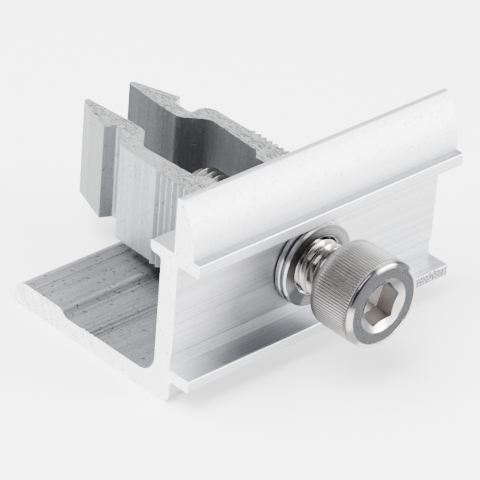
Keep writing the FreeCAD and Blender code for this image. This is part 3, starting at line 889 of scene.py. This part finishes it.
def make_lights(stage):
    """A bright room that is darker behind the clamp and darkest behind the camera, and soft
    lamps above and in front."""
    world = bpy.data.worlds.new("room")
    world.use_nodes = True
    tree = world.node_tree
    both = tree.nodes.new("ShaderNodeMath")
    both.operation = "MULTIPLY"
    towards_camera = Vector(stage.camera_place).normalized()
    shares = (
        room_share(tree, stage.dark_side, *DARK_SIDE_FADE, stage.dark_level),
        room_share(tree, towards_camera, *CAMERA_FADE, stage.camera_shade),
    )
    for index, share in enumerate(shares):
        tree.links.new(share, both.inputs[index])
    tree.links.new(both.outputs[0], tree.nodes["Background"].inputs["Color"])
    tree.nodes["Background"].inputs["Strength"].default_value = stage.room_light
    bpy.context.scene.world = world
    for name, power, width, place in LAMPS:
        lamp = bpy.data.lights.new(name, "AREA")
        lamp.energy = getattr(stage, power)
        lamp.size = width
        holder = bpy.data.objects.new(name, lamp)
        holder.location = place
        holder.rotation_euler = (-holder.location).to_track_quat("-Z", "Y").to_euler()
        bpy.context.scene.collection.objects.link(holder)


def make_camera(stage):
    """The camera at the photograph's viewing angle."""
    data = bpy.data.cameras.new("camera")
    data.sensor_width = SENSOR_WIDTH
    data.lens = stage.camera_lens
    data.clip_start = CLIP_START
    camera = bpy.data.objects.new("camera", data)
    camera.location = stage.camera_place
    camera.rotation_euler = Euler(stage.camera_turn)
    bpy.context.scene.collection.objects.link(camera)
    bpy.context.scene.camera = camera


# Operators

class OBJECT_OT_clamp_profile(bpy.types.Operator):
    """Dress the extruded clamp"""

    bl_idname = "endclamp.clamp_profile"
    bl_label = "Clamp Profile"

    def execute(self, context):
        colours = context.scene.end_clamp_colours
        repaint("clamp_profile", drawn_aluminium(
            "clamp_aluminium", 0, tuple(colours.profile), tuple(colours.profile_sawn), clamp_wear_and_shade))
        return {"FINISHED"}


class OBJECT_OT_channel_nut(bpy.types.Operator):
    """Dress the channel nut and cut its thread"""

    bl_idname = "endclamp.channel_nut"
    bl_label = "Channel Nut"

    def execute(self, context):
        scene = context.scene
        finish = drawn_aluminium(
            "nut_aluminium", 2, tuple(scene.end_clamp_colours.nut),
            tuple(scene.end_clamp_colours.nut_sawn), nut_wear_and_shade)
        repaint("channel_nut", finish)
        mesh = nut_thread_mesh(scene.end_clamp_nut, scene.end_clamp_screw)
        make_piece("nut_thread", mesh, "nut_body", finish)
        return {"FINISHED"}


class OBJECT_OT_cap_screw(bpy.types.Operator):
    """Make the screw's knurled head and its threaded shank"""

    bl_idname = "endclamp.cap_screw"
    bl_label = "Cap Screw"

    def execute(self, context):
        sizes = context.scene.end_clamp_screw
        steel = screw_steel(context.scene.end_clamp_colours, sizes)
        head_mesh = sheet_mesh("screw_head", head_surface(sizes), wrap=True)
        head = make_piece("screw_head", head_mesh, "screw_body", steel)
        make_piece("screw_thread", screw_thread_mesh(sizes), "screw_body", steel)
        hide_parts("cap_screw")
        return {"FINISHED"}


class OBJECT_OT_washers(bpy.types.Operator):
    """Dress the two washers"""

    bl_idname = "endclamp.washers"
    bl_label = "Washers"

    def execute(self, context):
        steel = washer_steel(context.scene.end_clamp_colours)
        for node in ("rear_washer", "front_washer"):
            repaint(node, steel)
        return {"FINISHED"}


class OBJECT_OT_stage(bpy.types.Operator):
    """Set the floor, the lamps and the camera"""

    bl_idname = "endclamp.stage"
    bl_label = "Stage"

    def execute(self, context):
        stage = context.scene.end_clamp_stage
        make_floor(stage)
        make_lights(stage)
        make_camera(stage)
        return {"FINISHED"}


OPERATORS = (
    OBJECT_OT_clamp_profile, OBJECT_OT_channel_nut, OBJECT_OT_cap_screw,
    OBJECT_OT_washers, OBJECT_OT_stage,
)


class VIEW3D_PT_end_clamp(bpy.types.Panel):
    """The clamp's pieces in the sidebar"""

    bl_label = "End Clamp"
    bl_space_type = "VIEW_3D"
    bl_region_type = "UI"
    bl_category = "End Clamp"

    def draw(self, context):
        for operator in OPERATORS:
            self.layout.operator(operator.bl_idname)


GROUPS = {
    "end_clamp_screw": ScrewSizes,
    "end_clamp_nut": NutSizes,
    "end_clamp_colours": FinishColours,
    "end_clamp_stage": StageSizes,
}


def register():
    for name, group in GROUPS.items():
        bpy.utils.register_class(group)
        setattr(bpy.types.Scene, name, bpy.props.PointerProperty(type=group))
    for operator in OPERATORS:
        bpy.utils.register_class(operator)
    bpy.utils.register_class(VIEW3D_PT_end_clamp)


def unregister():
    bpy.utils.unregister_class(VIEW3D_PT_end_clamp)
    for operator in reversed(OPERATORS):
        bpy.utils.unregister_class(operator)
    for name, group in GROUPS.items():
        delattr(bpy.types.Scene, name)
        bpy.utils.unregister_class(group)


def main():
    register()
    bpy.ops.endclamp.clamp_profile()
    bpy.ops.endclamp.channel_nut()
    bpy.ops.endclamp.cap_screw()
    bpy.ops.endclamp.washers()
    bpy.ops.endclamp.stage()
    bpy.context.view_layer.update()


if __name__ == "__main__":
    main()
